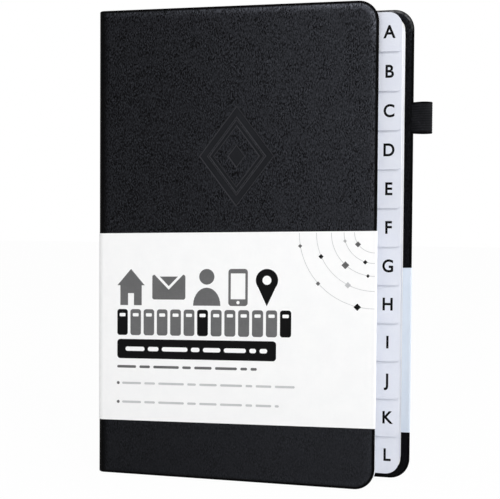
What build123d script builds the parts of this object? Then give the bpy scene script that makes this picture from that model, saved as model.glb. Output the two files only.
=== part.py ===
# Address book in a turned-in leather case, with step-cut index sections and a paper band.
# The book stands on its tail edge: +Z up, front cover towards -Y, fore edge towards +X.
# The origin is the middle of the footprint, on the surface that the book stands on.
# All sizes are in millimetres.
import os
from math import pi, radians, tan

from build123d import *

# Case
cover_height = 210.0
front_cover_width = 126.5  # from the spine's outer face, short enough to leave the tabs in view
back_cover_width = 140.0
book_thickness = 25.0  # leather face to leather face
cover_corner_radius = 8.8  # fore-edge corners of both covers
hinge_radius = 3.0  # rounded leather corner between spine and cover
cover_edge_radius = 0.5  # outer edges of the leather
leather_thickness = 0.6
board_thickness = 1.4
turn_in_thickness = 0.3  # pared leather folded over the inside of a board
turn_in_width = 12.0
pastedown_thickness = 0.2
pastedown_margin = 4.0  # leather left bare round a pastedown
lining_thickness = 0.25  # cloth and glue inside the spine

# Book block
fore_edge_square = 3.8  # the back cover stands this far past the pages at the fore edge
end_square = 4.8  # and both covers this far at head and tail
page_corner_radius = 6.0
row_count = 12  # index rows down the fore edge
tab_tuck = 0.6  # leaves that are cut back end this far inside the front cover's fore edge
tab_corner_radius = 2.0
flyleaf_thickness = 0.2
fold_thickness = 0.25  # a section at its fold
fold_taper = 6.0  # length over which a section swells from its fold to its full thickness
section_clearance = 0.07
flyleaf_clearance = 0.15
fold_clearance = 0.1  # folds to turn-ins
head_band_size = 2.0
head_band_round = 0.9
head_band_clearance = 0.1

# Paper band
band_thickness = 0.25
band_height = 85.0
band_base = 24.2  # lower edge at the middle of the spine
band_slope = 1.13  # degrees, rising towards the front cover's fore edge
band_flap_length = 55.0
band_flap_drop = 11.0  # shoulder cut at the top of a flap, and of the back cover's fold
flap_clearance = 0.1

# Pen loop
loop_width = 13.8  # along the fore edge
loop_centre_height = 161.9
loop_reach = 8.4  # past the back cover
loop_diameter = 7.5
elastic_thickness = 0.7
loop_tail_thickness = 0.9
loop_tail_length = 13.0
loop_slit_clearance = 0.1

# Places that follow from the sizes above
cover_thickness = leather_thickness + board_thickness + turn_in_thickness + pastedown_thickness
loop_inset = leather_thickness + board_thickness - loop_tail_thickness / 2  # loop's middle from the back face
back_overhang = max(band_thickness, loop_diameter / 2 - loop_inset)
total_depth = band_thickness + book_thickness + back_overhang
total_width = band_thickness + back_cover_width + loop_reach
front_y = band_thickness - total_depth / 2  # outer leather face of the front cover
back_y = front_y + book_thickness
spine_x = band_thickness - total_width / 2  # outer leather face of the spine
hinge_x = spine_x + hinge_radius  # where the covers begin
spine_board_x = spine_x + leather_thickness
spine_inner_x = spine_board_x + board_thickness
spine_depth = book_thickness - 2 * hinge_radius
spine_start_y = front_y + hinge_radius
middle_y = front_y + book_thickness / 2
page_edge_x = spine_x + back_cover_width - fore_edge_square
page_bottom = end_square
page_top = cover_height - end_square
row_height = (page_top - page_bottom) / row_count
cut_back_x = spine_x + front_cover_width - tab_tuck  # fore edge of a section below its own tab
tab_width = page_edge_x - cut_back_x
fold_x = spine_inner_x + max(turn_in_thickness, lining_thickness) + fold_clearance + fold_thickness / 2
loop_y = back_y - loop_inset
loop_centre_x = spine_x + back_cover_width + loop_reach - loop_diameter / 2

# Index sections, front half then back half, one tab to a row in each half
section_letters = list("abcdefghijkl") + list("mnopqrstuvw") + ["xyz"]
flyleaf_pitch = flyleaf_thickness + flyleaf_clearance
block_start_y = front_y + cover_thickness + band_thickness + flap_clearance
block_depth = book_thickness - 2 * (cover_thickness + band_thickness + flap_clearance)
section_pitch = (block_depth - 2 * flyleaf_pitch) / len(section_letters)
section_thickness = section_pitch - section_clearance

os.makedirs("parts", exist_ok=True)


# Write one finished piece under its own name
def save(piece, name):
    piece.label = name
    export_step(piece, f"parts/{name}.step")


# Upright plane at a given depth, drawn in world X and Z, that a positive extrusion leaves towards the front
def upright(y):
    return Plane.XZ.offset(-y)


# Face of a cover between the hinge line and its fore edge, drawn in by an inset on the three free sides
def cover_face(y, width, inset, corner_radius, hinge_overlap=0.0):
    left = hinge_x - hinge_overlap
    right = spine_x + width - inset
    with BuildSketch(upright(y)) as face:
        with Locations(((left + right) / 2, cover_height / 2)):
            Rectangle(right - left, cover_height - 2 * inset)
        if corner_radius > 0:
            fillet(face.vertices().group_by(Axis.X)[-1], corner_radius)
    return face.sketch


# Quarter ring over a rounded hinge corner, drawn in the ground plane
def hinge_ring(z, corner_y, start_angle, inner_radius, outer_radius):
    centre = (hinge_x, corner_y)
    with BuildSketch(Plane.XY.offset(z)) as ring:
        with BuildLine():
            outer = CenterArc(centre, outer_radius, start_angle, 90)
            inner = CenterArc(centre, inner_radius, start_angle, 90)
            Line(outer @ 0, inner @ 0)
            Line(outer @ 1, inner @ 1)
        make_face()
    return ring.sketch


# Height of the paper band's lower edge, at a distance along the band from the middle of the spine
def band_edge(distance):
    return band_base + distance * tan(radians(band_slope))


# Strip of the band between two upright lines, each with its own place along the band
def band_strip(y, x_start, along_start, x_end, along_end, height):
    low_start = band_edge(along_start)
    low_end = band_edge(along_end)
    with BuildSketch(upright(y)) as strip:
        with BuildLine():
            Polyline(
                (x_start, low_start),
                (x_end, low_end),
                (x_end, low_end + height),
                (x_start, low_start + height),
                close=True,
            )
        make_face()
    return strip.sketch


# Spine: board, leather channel with turn-ins, and lining
with BuildPart() as spine_board:
    with BuildSketch(upright(spine_start_y)):
        with Locations((spine_board_x + board_thickness / 2, cover_height / 2)):
            Rectangle(board_thickness, cover_height - 2 * leather_thickness)
    extrude(amount=-spine_depth)
save(spine_board.part, "spine_board")

with BuildPart() as spine_leather:
    channel_width = leather_thickness + board_thickness + turn_in_thickness
    with BuildSketch(upright(spine_start_y)):
        with Locations((spine_x + channel_width / 2, cover_height / 2)):
            Rectangle(channel_width, cover_height)
        with Locations((spine_board_x + board_thickness / 2, cover_height / 2)):
            Rectangle(board_thickness, cover_height - 2 * leather_thickness, mode=Mode.SUBTRACT)
        with Locations((spine_inner_x + turn_in_thickness / 2, cover_height / 2)):
            Rectangle(turn_in_thickness, cover_height - 2 * turn_in_width, mode=Mode.SUBTRACT)
    extrude(amount=-spine_depth)
    outer_face = spine_leather.faces().sort_by(Axis.X)[0]
    fillet(outer_face.edges().filter_by(Axis.Y), cover_edge_radius)
save(spine_leather.part, "spine_leather")

with BuildPart() as spine_lining:
    with BuildSketch(upright(spine_start_y)):
        with Locations((spine_inner_x + lining_thickness / 2, cover_height / 2)):
            Rectangle(lining_thickness, cover_height - 2 * turn_in_width)
    extrude(amount=-spine_depth)
save(spine_lining.part, "spine_lining")


# Head and tail bands: beads on the turn-ins, over the ends of the folds
def make_end_band(name, low_z):
    bead_x = spine_inner_x + turn_in_thickness + head_band_size / 2
    with BuildPart() as bead:
        with BuildSketch(upright(middle_y - block_depth / 2)) as profile:
            with Locations((bead_x, low_z + head_band_size / 2)):
                Rectangle(head_band_size, head_band_size)
            fillet(profile.vertices().group_by(Axis.X)[-1], head_band_round)
        extrude(amount=-block_depth)
    save(bead.part, name)


make_end_band("head_band", page_top + head_band_clearance)
make_end_band("tail_band", page_bottom - head_band_clearance - head_band_size)


# Flexible leather corners between the spine and the covers
def make_hinge_leather(name, corner_y, start_angle):
    with BuildPart() as corner:
        extrude(
            hinge_ring(0, corner_y, start_angle, hinge_radius - leather_thickness, hinge_radius),
            amount=cover_height,
        )
    save(corner.part, name)


make_hinge_leather("front_hinge_leather", spine_start_y, 180)
make_hinge_leather("back_hinge_leather", spine_start_y + spine_depth, 90)


# Cover board, with a pocket for the pen loop's tail where it carries one
def make_cover_board(name, width, outer_y, inward, holds_loop):
    board_y = outer_y + inward * leather_thickness
    with BuildPart() as board:
        extrude(
            cover_face(board_y, width, leather_thickness, cover_corner_radius - leather_thickness),
            amount=-inward * board_thickness,
        )
        if holds_loop:
            with BuildSketch(upright(board_y + inward * board_thickness)):
                with Locations((spine_x + width - loop_tail_length / 2, loop_centre_height)):
                    Rectangle(loop_tail_length, loop_width)
            extrude(amount=inward * loop_tail_thickness, mode=Mode.SUBTRACT)
    save(board.part, name)


# Cover leather: outer skin, edges round the board and turn-ins, open at the hinge
def make_cover_leather(name, width, outer_y, inward, holds_loop):
    board_y = outer_y + inward * leather_thickness
    turn_in_y = board_y + inward * board_thickness
    board_corner_radius = cover_corner_radius - leather_thickness
    with BuildPart() as leather:
        extrude(
            cover_face(outer_y, width, 0, cover_corner_radius),
            amount=-inward * (leather_thickness + board_thickness + turn_in_thickness),
        )
        extrude(
            cover_face(board_y, width, leather_thickness, board_corner_radius, hinge_radius),
            amount=-inward * board_thickness,
            mode=Mode.SUBTRACT,
        )
        extrude(
            cover_face(turn_in_y, width, turn_in_width, 0, hinge_radius),
            amount=-inward * turn_in_thickness,
            mode=Mode.SUBTRACT,
        )
        if holds_loop:
            with BuildSketch(upright(turn_in_y)):
                with Locations((spine_x + width, loop_centre_height)):
                    Rectangle(2 * leather_thickness, loop_width + 2 * loop_slit_clearance)
            extrude(amount=inward * (loop_tail_thickness + loop_slit_clearance), mode=Mode.SUBTRACT)
        outer_face = leather.faces().sort_by(Axis.Y)[0 if inward > 0 else -1]
        free_edges = outer_face.edges().sort_by(Axis.X)[1:]
        fillet(free_edges, cover_edge_radius)
    save(leather.part, name)


# Pastedown: endpaper that fills the window between the turn-ins and laps over them
def make_pastedown(name, width, outer_y, inward):
    turn_in_y = outer_y + inward * (leather_thickness + board_thickness)
    lap_y = turn_in_y + inward * turn_in_thickness
    with BuildPart() as pastedown:
        extrude(cover_face(turn_in_y, width, turn_in_width, 0), amount=-inward * turn_in_thickness)
        extrude(
            cover_face(lap_y, width, pastedown_margin, cover_corner_radius - pastedown_margin),
            amount=-inward * pastedown_thickness,
        )
    save(pastedown.part, name)


# Paper band on one cover: outer panel, fold round the fore edge and flap tucked inside
def make_cover_band(name, width, outer_y, inward, fold_height):
    fore_x = spine_x + width
    fold_end_x = fore_x + band_thickness
    flap_end_x = fold_end_x - band_flap_length
    hinge_along = inward * (spine_depth / 2 + hinge_radius * pi / 2)
    fore_along = hinge_along + inward * (width - hinge_radius)
    flap_along = fore_along + inward * band_flap_length
    flap_y = outer_y + inward * cover_thickness
    flap_height = band_height - band_flap_drop
    with BuildPart() as band:
        extrude(
            band_strip(outer_y, hinge_x, hinge_along, fold_end_x, fore_along, band_height),
            amount=inward * band_thickness,
        )
        extrude(
            band_strip(outer_y, fore_x, fore_along, fold_end_x, fore_along, fold_height),
            amount=-inward * (cover_thickness + band_thickness),
        )
        extrude(
            band_strip(flap_y, fold_end_x, fore_along, flap_end_x, flap_along, flap_height),
            amount=-inward * band_thickness,
        )
    save(band.part, name)


# Front cover, then back cover
make_cover_board("front_board", front_cover_width, front_y, 1, False)
make_cover_leather("front_leather", front_cover_width, front_y, 1, False)
make_pastedown("front_pastedown", front_cover_width, front_y, 1)
make_cover_band("band_front", front_cover_width, front_y, 1, band_height)
make_cover_board("back_board", back_cover_width, back_y, -1, True)
make_cover_leather("back_leather", back_cover_width, back_y, -1, True)
make_pastedown("back_pastedown", back_cover_width, back_y, -1)
make_cover_band("band_back", back_cover_width, back_y, -1, band_height - band_flap_drop)

# Paper band over the spine, and its bends over the hinge corners
with BuildPart() as band_spine:
    with BuildSketch(Plane.YZ.offset(spine_x)):
        with BuildLine():
            front_low = band_edge(spine_depth / 2)
            back_low = band_edge(-spine_depth / 2)
            Polyline(
                (spine_start_y, front_low),
                (spine_start_y + spine_depth, back_low),
                (spine_start_y + spine_depth, back_low + band_height),
                (spine_start_y, front_low + band_height),
                close=True,
            )
        make_face()
    extrude(amount=-band_thickness)
save(band_spine.part, "band_spine")


def make_band_fold(name, corner_y, start_angle, side):
    low_z = band_edge(side * (spine_depth / 2 + hinge_radius * pi / 4))
    with BuildPart() as fold:
        extrude(
            hinge_ring(low_z, corner_y, start_angle, hinge_radius, hinge_radius + band_thickness),
            amount=band_height,
        )
    save(fold.part, name)


make_band_fold("band_front_fold", spine_start_y, 180, 1)
make_band_fold("band_back_fold", spine_start_y + spine_depth, 90, -1)

# Pen loop: a ring of elastic that runs together into a tail glued between board and turn-in
with BuildPart() as pen_loop:
    tail_end_x = spine_x + back_cover_width
    with BuildSketch(Plane.XY.offset(loop_centre_height - loop_width / 2)):
        with Locations((loop_centre_x, loop_y)):
            Circle(loop_diameter / 2)
        with BuildLine():
            Polyline(
                (tail_end_x, loop_y + loop_tail_thickness / 2),
                (loop_centre_x, loop_y + loop_diameter / 2),
                (loop_centre_x, loop_y - loop_diameter / 2),
                (tail_end_x, loop_y - loop_tail_thickness / 2),
                close=True,
            )
        make_face()
        with Locations((loop_centre_x, loop_y)):
            Circle(loop_diameter / 2 - elastic_thickness, mode=Mode.SUBTRACT)
        with Locations((tail_end_x - loop_tail_length / 2, loop_y)):
            Rectangle(loop_tail_length, loop_tail_thickness)
    extrude(amount=loop_width)
save(pen_loop.part, "pen_loop")


# Outline of a leaf, full at the tab rows it keeps and cut back below them
def leaf_outline(rows_kept):
    tab_bottom = page_top - rows_kept * row_height
    left = spine_x
    with BuildSketch(upright(back_y)) as outline:
        with Locations(((left + page_edge_x) / 2, (page_bottom + page_top) / 2)):
            Rectangle(page_edge_x - left, page_top - page_bottom)
        if rows_kept < row_count:
            with Locations((page_edge_x - tab_width / 2, (page_bottom + tab_bottom) / 2)):
                Rectangle(tab_width, tab_bottom - page_bottom, mode=Mode.SUBTRACT)
        tab_edge = outline.vertices().group_by(Axis.X)[-1].sort_by(Axis.Y)
        fillet(tab_edge[-1], page_corner_radius)
        lower_corner = outline.vertices().group_by(Axis.X)[-1].sort_by(Axis.Y)[0]
        fillet(lower_corner, tab_corner_radius if rows_kept < row_count else page_corner_radius)
    return outline.sketch


# Outline of the short flyleaf behind the front cover, which leaves every tab in view
def short_leaf_outline():
    left = spine_x
    with BuildSketch(upright(back_y)) as outline:
        with Locations(((left + cut_back_x) / 2, (page_bottom + page_top) / 2)):
            Rectangle(cut_back_x - left, page_top - page_bottom)
        fillet(outline.vertices().group_by(Axis.X)[-1], page_corner_radius)
    return outline.sketch


# Leaf or section seen from its head: a round fold on its hinge line, swelling to its full thickness
def make_leaf(name, y, end_x, thin, thick, outline):
    with BuildPart() as leaf:
        with BuildSketch(Plane.XY.offset(page_bottom)):
            with BuildLine():
                fold = CenterArc((fold_x, y), thin / 2, 90, 180)
                Polyline(
                    fold @ 1,
                    (fold_x + fold_taper, y - thick / 2),
                    (end_x, y - thick / 2),
                    (end_x, y + thick / 2),
                    (fold_x + fold_taper, y + thick / 2),
                    fold @ 0,
                )
            make_face()
        extrude(amount=page_top - page_bottom)
        extrude(outline, amount=book_thickness, mode=Mode.INTERSECT)
    save(leaf.part, name)


# Flyleaves
front_flyleaf_y = block_start_y + flyleaf_thickness / 2
back_flyleaf_y = block_start_y + block_depth - flyleaf_thickness / 2
fly_thick = flyleaf_thickness
make_leaf("front_flyleaf", front_flyleaf_y, cut_back_x, fly_thick, fly_thick, short_leaf_outline())
make_leaf("back_flyleaf", back_flyleaf_y, page_edge_x, fly_thick, fly_thick, leaf_outline(row_count))

# Step-cut index sections
for number, letters in enumerate(section_letters):
    section_y = block_start_y + flyleaf_pitch + (number + 0.5) * section_pitch
    rows_kept = number % row_count + 1
    name = f"section_{letters}"
    make_leaf(name, section_y, page_edge_x, fold_thickness, section_thickness, leaf_outline(rows_kept))
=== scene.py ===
# Address book in a leather case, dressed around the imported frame; all places are in metres
import math
import random

import bpy
from mathutils import Matrix, Vector


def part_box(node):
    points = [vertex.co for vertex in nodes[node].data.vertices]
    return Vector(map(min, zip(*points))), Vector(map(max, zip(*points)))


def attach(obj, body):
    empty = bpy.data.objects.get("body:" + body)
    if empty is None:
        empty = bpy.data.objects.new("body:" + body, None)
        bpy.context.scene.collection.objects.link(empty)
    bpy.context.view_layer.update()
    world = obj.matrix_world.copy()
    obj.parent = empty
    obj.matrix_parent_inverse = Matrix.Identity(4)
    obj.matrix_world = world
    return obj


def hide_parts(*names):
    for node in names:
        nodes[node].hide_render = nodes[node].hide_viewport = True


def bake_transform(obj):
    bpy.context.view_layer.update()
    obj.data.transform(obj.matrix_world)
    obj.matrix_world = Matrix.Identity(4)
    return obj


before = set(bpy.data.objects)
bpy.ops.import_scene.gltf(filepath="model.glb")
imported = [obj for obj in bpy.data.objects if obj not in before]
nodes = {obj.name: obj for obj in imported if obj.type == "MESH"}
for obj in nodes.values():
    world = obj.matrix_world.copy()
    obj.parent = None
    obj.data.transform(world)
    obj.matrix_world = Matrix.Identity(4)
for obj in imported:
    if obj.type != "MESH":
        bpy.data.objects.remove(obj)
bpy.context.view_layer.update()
mm = 0.001
tiny = 0.002 * mm  # how near two places count as the same
quarterTurn = math.pi / 2
fullTurn = 2 * math.pi

# Places that every piece is built from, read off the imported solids
coverLow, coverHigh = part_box("front_leather")
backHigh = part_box("back_leather")[1]
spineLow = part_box("spine_leather")[0]
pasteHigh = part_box("front_pastedown")[1]
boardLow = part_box("front_board")[0]
case = {
    "height": coverHigh.z,
    "frontY": coverLow.y,  # outer face of the front cover
    "middleY": (coverLow.y + backHigh.y) / 2,
    "spineX": spineLow.x,
    "hingeX": coverLow.x,
    "leather": boardLow.y - coverLow.y,
    "slab": coverHigh.y - coverLow.y,  # leather, board and turn-in
    "cover": pasteHigh.y - coverLow.y,  # the same with the pastedown
    "cornerRadius": 8.8 * mm,
    "cornerSegments": 12,
    "edgeRound": 0.55 * mm,
    "innerRound": 0.4 * mm,
    "edgeSegments": 4,
    "crownInsets": [0.7 * mm, 0.6 * mm, 0.8 * mm, 1.0 * mm, 1.2 * mm],  # roll-off towards the free edges
    "crownDrop": 0.4 * mm,
    "bendColumns": 28,
    "bendReach": 0.5 * mm,  # how far to each side of its hinge line a cover bends
    "sharpBend": 60,  # degrees between two faces
    "smoothAngle": 40,
}
case["bendRadius"] = case["hingeX"] - case["spineX"]
case["halfSpine"] = case["middleY"] - case["frontY"] - case["bendRadius"]
case["bendLength"] = case["bendRadius"] * quarterTurn
case["coverStart"] = case["halfSpine"] + case["bendLength"]
sides = {
    "front": {"sign": 1, "foreX": coverHigh.x, "body": "front_cover", "hinge": "front_cover_hinge"},
    "back": {"sign": -1, "foreX": backHigh.x, "body": "back_cover", "hinge": "back_cover_hinge"},
}
for coverSide in sides.values():
    coverSide["length"] = case["coverStart"] + coverSide["foreX"] - case["hingeX"]  # from the spine's middle
print("frame loaded:", len(nodes), "nodes")


# Small helpers for working in edit mode

def objectMode():
    bpy.ops.object.mode_set(mode="OBJECT")


def deselectAll():
    if bpy.context.mode != "OBJECT":
        objectMode()
    bpy.ops.object.select_all(action="DESELECT")


def makeActive(piece):
    deselectAll()
    piece.select_set(True)
    bpy.context.view_layer.objects.active = piece


def nameActive(name):
    piece = bpy.context.active_object
    piece.name = name
    piece.data.name = name
    return piece


def applyPlace(piece):
    makeActive(piece)
    bpy.ops.object.transform_apply(location=True, rotation=True, scale=True)


def standUp(piece, width, height, depth=1):
    # sizes a shape that was added lying down, and turns it to face the front
    piece.rotation_euler = (quarterTurn, 0, 0)
    piece.scale = (width, height, depth)
    applyPlace(piece)


def pick(piece, kind, test):
    # leaves the piece in edit mode with the vertices, edges or faces chosen that pass the test
    objectMode()
    mesh = piece.data
    bpy.context.tool_settings.mesh_select_mode = (kind == "VERT", kind == "EDGE", kind == "FACE")
    for items in (mesh.vertices, mesh.edges, mesh.polygons):
        items.foreach_set("select", [False] * len(items))
    if kind == "VERT":
        for vertex in mesh.vertices:
            vertex.select = test(vertex.co)
    if kind == "FACE":
        for face in mesh.polygons:
            face.select = test(face.center, face.normal)
    if kind == "EDGE":
        normals = {}
        for face in mesh.polygons:
            for key in face.edge_keys:
                normals.setdefault(key, []).append(face.normal.copy())
        for edge in mesh.edges:
            beside = normals.get(edge.key, [])
            bend = math.degrees(beside[0].angle(beside[1], 0)) if len(beside) == 2 else 0
            a, b = (mesh.vertices[index].co for index in edge.vertices)
            edge.select = test(a, b, bend)
    bpy.ops.object.mode_set(mode="EDIT")


def pickAll():
    bpy.ops.object.mode_set(mode="EDIT")
    bpy.ops.mesh.select_all(action="SELECT")


def dress(piece, *materials):
    for material in materials:
        piece.data.materials.append(material)


def paintFaces(piece, slot, test):
    pick(piece, "FACE", test)
    piece.active_material_index = slot
    bpy.ops.object.material_slot_assign()
    objectMode()


def cutAt(axis, place):
    # a straight cut right across everything, square to one axis
    direction = {"x": (1, 0, 0), "z": (0, 0, 1)}[axis]
    pickAll()
    bpy.ops.mesh.bisect(plane_co=[place * part for part in direction], plane_no=direction)


def cutColumns(start, run, count):
    for column in range(count + 1):
        cutAt("x", start + run * column / count)


def roundCorners(radius, segments):
    bpy.ops.mesh.bevel(offset=radius, segments=segments, affect="VERTICES")


def extrude(y):
    bpy.ops.mesh.extrude_region_move(TRANSFORM_OT_translate={"value": (0, y, 0)})


def addPlate(name, lowX, highX, lowZ, highZ):
    # upright plate that faces the front
    deselectAll()
    bpy.ops.mesh.primitive_plane_add(size=1, location=((lowX + highX) / 2, 0, (lowZ + highZ) / 2))
    plate = nameActive(name)
    standUp(plate, highX - lowX, highZ - lowZ)
    return plate


def addDisc(name, corners, radius, place):
    # flat disc that lies down; few corners make a triangle or a diamond
    deselectAll()
    bpy.ops.mesh.primitive_circle_add(vertices=corners, radius=radius, fill_type="NGON", location=place)
    return nameActive(name)


def keepBorder(width):
    # takes away the middle of the chosen face
    bpy.ops.mesh.inset(thickness=width)
    bpy.ops.mesh.delete(type="FACE")


def facesOut(piece):
    makeActive(piece)
    pickAll()
    bpy.ops.mesh.normals_make_consistent(inside=False)
    objectMode()


def useModifier(piece, kind, **settings):
    makeActive(piece)
    modifier = piece.modifiers.new(kind.title(), kind)
    for key, value in settings.items():
        setattr(modifier, key, value)
    bpy.ops.object.modifier_apply(modifier=modifier.name)


def smoothBelow(piece, degrees):
    makeActive(piece)
    bpy.ops.object.shade_smooth_by_angle(angle=math.radians(degrees))


# Lines seen from above that flat hide, paper and elastic are laid along, as (length, radius of the turn)
spineRuns = [(case["halfSpine"], 0), (case["bendLength"], case["bendRadius"])]
openRun = (1, 0)  # straight on, past the end of any piece


def lineAt(along, start, heading, runs):
    # point and outward direction on a line, walked as straight runs and round right turns
    x, away = start
    angle = heading
    for index, (length, radius) in enumerate(runs):
        step = along if index == len(runs) - 1 else min(along, length)
        if radius:
            turn = step / radius
            x += radius * (math.sin(angle) - math.sin(angle - turn))
            away += radius * (math.cos(angle - turn) - math.cos(angle))
            angle -= turn
        else:
            x += step * math.cos(angle)
            away += step * math.sin(angle)
        along -= step
        if along <= 0:
            break
    return x, away, -math.sin(angle), math.cos(angle)


def wrapAlong(piece, start, heading, runs, middleY, sign):
    # a flat piece is length in x, depth in y and height in z; its flat place is kept for the pattern
    flat = piece.data.attributes.new("flatPlace", "FLOAT_VECTOR", "POINT")
    for index, vertex in enumerate(piece.data.vertices):
        along, depth, height = vertex.co
        flat.data[index].vector = (sign * along, depth, height)
        x, away, outX, outAway = lineAt(along, start, heading, runs)
        vertex.co = (x - depth * outX, middleY - sign * (away - depth * outAway), height)
    facesOut(piece)


def wrapOnCase(piece, side, runs):
    # from the middle of the spine's outer face, round to the side's own cover
    wrapAlong(piece, (case["spineX"], 0), quarterTurn, runs, case["middleY"], side["sign"])
    smoothBelow(piece, case["smoothAngle"])
    useModifier(piece, "WEIGHTED_NORMAL", keep_sharp=True)


def bendWithCover(piece):
    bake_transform(piece)


# Shader building

def addNode(tree, kind, **settings):
    node = tree.nodes.new(kind)
    for key, value in settings.items():
        setattr(node, key, value)
    return node


def feed(tree, socket, value):
    # a number or a colour is set on the socket, and another node's output is linked to it
    if isinstance(value, (int, float)):
        socket.default_value = value
    elif isinstance(value, tuple):
        socket.default_value = (*value, 1)
    else:
        tree.links.new(value, socket)


def mathNode(tree, operation, first, second=0):
    node = addNode(tree, "ShaderNodeMath", operation=operation)
    feed(tree, node.inputs[0], first)
    feed(tree, node.inputs[1], second)
    return node.outputs[0]


def chain(tree, operation, first, others):
    for other in others:
        first = mathNode(tree, operation, first, other)
    return first


def times(tree, first, *others):
    return chain(tree, "MULTIPLY", first, others)


def plus(tree, first, *others):
    return chain(tree, "ADD", first, others)


def largest(tree, first, *others):
    return chain(tree, "MAXIMUM", first, others)


def minus(tree, first, second):
    return mathNode(tree, "SUBTRACT", first, second)


def rangeNode(tree, value, given, wanted, smooth=True):
    # carries one span of values over to another
    node = addNode(tree, "ShaderNodeMapRange", interpolation_type="SMOOTHSTEP" if smooth else "LINEAR")
    tree.links.new(value, node.inputs["Value"])
    for name, number in zip(("From Min", "From Max", "To Min", "To Max"), (*given, *wanted)):
        node.inputs[name].default_value = number
    return node.outputs["Result"]


def mixColour(tree, factor, first, second):
    node = addNode(tree, "ShaderNodeMix", data_type="RGBA")
    tree.links.new(factor, node.inputs["Factor"])
    feed(tree, node.inputs[6], first)  # the node has a pair of sockets for each data type; these take colours
    feed(tree, node.inputs[7], second)
    return node.outputs[2]


def noiseNode(tree, vector, scale, detail=2.0, roughness=0.5):
    node = addNode(tree, "ShaderNodeTexNoise")
    tree.links.new(vector, node.inputs["Vector"])
    for name, value in (("Scale", scale), ("Detail", detail), ("Roughness", roughness)):
        feed(tree, node.inputs[name], value)
    return node.outputs["Fac"]


def mapVector(tree, vector, scale=(1, 1, 1), turn=(0, 0, 0)):
    node = addNode(tree, "ShaderNodeMapping")
    tree.links.new(vector, node.inputs["Vector"])
    node.inputs["Scale"].default_value = scale
    node.inputs["Rotation"].default_value = [math.radians(angle) for angle in turn]
    return node.outputs["Vector"]


def warpVector(tree, vector, place, scale, amount):
    # pushes a place about by an uneven drift
    drift = addNode(tree, "ShaderNodeTexNoise")
    drift.inputs["Scale"].default_value = scale
    tree.links.new(place, drift.inputs["Vector"])
    centred = addNode(tree, "ShaderNodeVectorMath", operation="SUBTRACT")
    centred.inputs[1].default_value = (0.5, 0.5, 0.5)
    tree.links.new(drift.outputs["Color"], centred.inputs[0])
    warped = addNode(tree, "ShaderNodeVectorMath", operation="MULTIPLY_ADD")
    warped.inputs[1].default_value = (amount,) * 3
    tree.links.new(centred.outputs[0], warped.inputs[0])
    tree.links.new(vector, warped.inputs[2])
    return warped.outputs[0]


def bumpNode(tree, height, strength, distance):
    node = addNode(tree, "ShaderNodeBump")
    node.inputs["Strength"].default_value = strength
    node.inputs["Distance"].default_value = distance
    tree.links.new(height, node.inputs["Height"])
    return node.outputs["Normal"]


def splitVector(tree, vector):
    node = addNode(tree, "ShaderNodeSeparateXYZ")
    tree.links.new(vector, node.inputs[0])
    return node.outputs


def objectPlace(tree):
    return addNode(tree, "ShaderNodeTexCoord").outputs["Object"]


def flatPlace(tree):
    return addNode(tree, "ShaderNodeAttribute", attribute_name="flatPlace").outputs["Vector"]


def newMaterial(name, roughness, specular):
    material = bpy.data.materials.new(name)
    material.use_nodes = True
    shader = material.node_tree.nodes["Principled BSDF"]
    shader.inputs["Roughness"].default_value = roughness
    shader.inputs["Specular IOR Level"].default_value = specular
    return material, material.node_tree, shader


def finishShader(tree, shader, colour, normal, roughness=None):
    tree.links.new(colour, shader.inputs["Base Color"])
    tree.links.new(normal, shader.inputs["Normal"])
    if roughness is not None:
        tree.links.new(roughness, shader.inputs["Roughness"])


def newGroup(name, inputs, outputs):
    # every group takes a place and some numbers, and gives numbers
    group = bpy.data.node_groups.new(name, "ShaderNodeTree")
    group.interface.new_socket(name="Vector", in_out="INPUT", socket_type="NodeSocketVector")
    for label in inputs:
        group.interface.new_socket(name=label, in_out="INPUT", socket_type="NodeSocketFloat")
    for label in outputs:
        group.interface.new_socket(name=label, in_out="OUTPUT", socket_type="NodeSocketFloat")
    return group, addNode(group, "NodeGroupInput").outputs, addNode(group, "NodeGroupOutput").inputs


def useGroup(tree, group, vector, **values):
    node = addNode(tree, "ShaderNodeGroup", node_tree=group)
    tree.links.new(vector, node.inputs["Vector"])
    for name, value in values.items():
        node.inputs[name].default_value = value
    return node.outputs


def sharesOf(total, shares):
    return [total * share for share in shares]


# Effects that several materials share; a noise is given as its detail and roughness
fibreLook = {
    "lengthwise": {"scale": (1, 1, 0.22), "turn": (0, 25, 0)},
    "crosswise": {"scale": (0.25, 1, 1), "turn": (0, -15, 0)},
    "noise": (3, 0.6),
    "cloudSize": 0.06,  # of the fibres' fineness
    "cloudNoise": (4, 0.55),
    "cloudShare": 0.55,
}
handlingLook = {
    "noise": (3, 0.6),
    "streaks": {"scale": (1, 1, 0.3), "turn": (0, 30, 0)},
    "streakNoise": (5, 0.65),
    "edge": (0.38, 0.62),  # how softly rubbed places end
}


def makePaperFibre():
    # felted fibres and cloudy formation of a sheet of paper
    look = fibreLook
    group, given, result = newGroup("paperFibre", ["Fineness"], ["Tone", "Height"])
    layers = []
    for lie in ("lengthwise", "crosswise"):
        lying = mapVector(group, given["Vector"], **look[lie])
        layers.append(noiseNode(group, lying, given["Fineness"], *look["noise"]))
    fibres = times(group, plus(group, *layers), 1 / len(layers))
    cloudSize = times(group, given["Fineness"], look["cloudSize"])
    cloud = noiseNode(group, given["Vector"], cloudSize, *look["cloudNoise"])
    share = look["cloudShare"]
    group.links.new(plus(group, times(group, fibres, 1 - share), times(group, cloud, share)), result["Tone"])
    group.links.new(fibres, result["Height"])
    return group


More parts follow.
